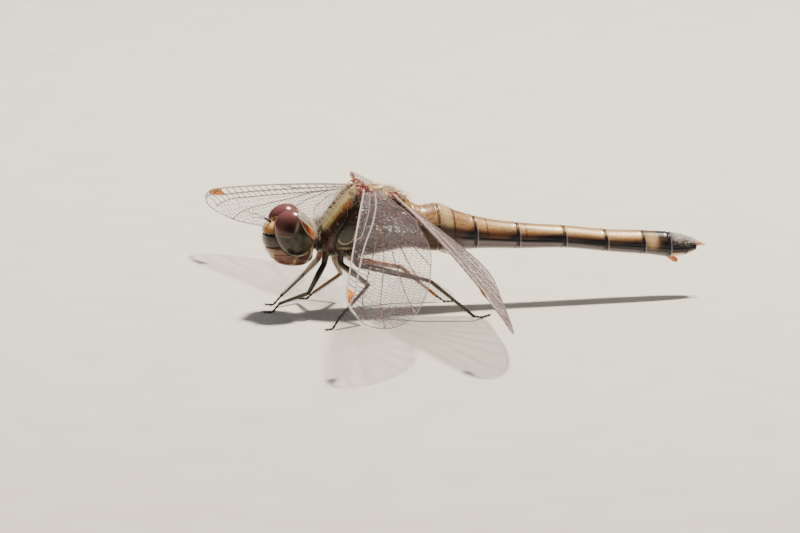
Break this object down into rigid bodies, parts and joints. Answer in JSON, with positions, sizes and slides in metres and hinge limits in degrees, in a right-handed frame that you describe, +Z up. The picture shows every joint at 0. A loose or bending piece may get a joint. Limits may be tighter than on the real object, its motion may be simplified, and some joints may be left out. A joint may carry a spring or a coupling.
{
  "type": "dragonfly",
  "caption": "Life-size still model of a female darter dragonfly standing with its wings held forward and down.",
  "frame": {"origin": "on the floor, below the middle of the bounding box", "axes": "+Z up, the head towards -X, the abdomen towards +X, the left wings towards -Y"},
  "size_m": [0.041, 0.0578, 0.011],
  "materials": {
    "head_capsule": "satin insect cuticle, tan with orange temples and cream seams",
    "face": "glossy insect cuticle, amber above and grey-brown below",
    "mouth_plates": "satin insect cuticle, red-brown with pale seams",
    "compound_eye": "glossy compound eye, maroon above and grey-olive below",
    "antenna": "thin satin bristle",
    "thorax_cuticle": "satin insect cuticle under fine pale hair, brown with olive and cream patches",
    "abdomen_cuticle": "satin to glossy insect cuticle, tan with black joints and side marks",
    "tail_appendage": "satin insect cuticle, orange-red",
    "wing": "clear thin membrane with brown veins and an orange-brown wing spot",
    "leg_cuticle": "glossy black insect cuticle with a cream outer stripe"
  },
  "bodies": {
    "root": {"cranium": "head_capsule", "labium": "mouth_plates", "frons": "face", "clypeus": "face", "labrum": "mouth_plates", "eye_left": "compound_eye", "eye_right": "compound_eye", "antenna_left": "antenna", "antenna_right": "antenna", "prothorax": "thorax_cuticle", "thorax": "thorax_cuticle", "abdomen_01": "abdomen_cuticle", "abdomen_02": "abdomen_cuticle", "abdomen_03": "abdomen_cuticle", "abdomen_04": "abdomen_cuticle", "abdomen_05": "abdomen_cuticle", "abdomen_06": "abdomen_cuticle", "abdomen_07": "abdomen_cuticle", "abdomen_08": "abdomen_cuticle", "abdomen_09": "abdomen_cuticle", "abdomen_10": "abdomen_cuticle", "cercus_left": "tail_appendage", "cercus_right": "tail_appendage", "vulvar_scale": "tail_appendage", "forewing_left": "wing", "forewing_right": "wing", "hindwing_left": "wing", "hindwing_right": "wing", "foreleg_left_femur": "leg_cuticle", "foreleg_left_tibia": "leg_cuticle", "foreleg_left_tarsus": "leg_cuticle", "foreleg_right_femur": "leg_cuticle", "foreleg_right_tibia": "leg_cuticle", "foreleg_right_tarsus": "leg_cuticle", "middle_leg_left_femur": "leg_cuticle", "middle_leg_left_tibia": "leg_cuticle", "middle_leg_left_tarsus": "leg_cuticle", "middle_leg_right_femur": "leg_cuticle", "middle_leg_right_tibia": "leg_cuticle", "middle_leg_right_tarsus": "leg_cuticle", "hindleg_left_femur": "leg_cuticle", "hindleg_left_tibia": "leg_cuticle", "hindleg_left_tarsus": "leg_cuticle", "hindleg_right_femur": "leg_cuticle", "hindleg_right_tibia": "leg_cuticle", "hindleg_right_tarsus": "leg_cuticle"}
  },
  "joints": []
}
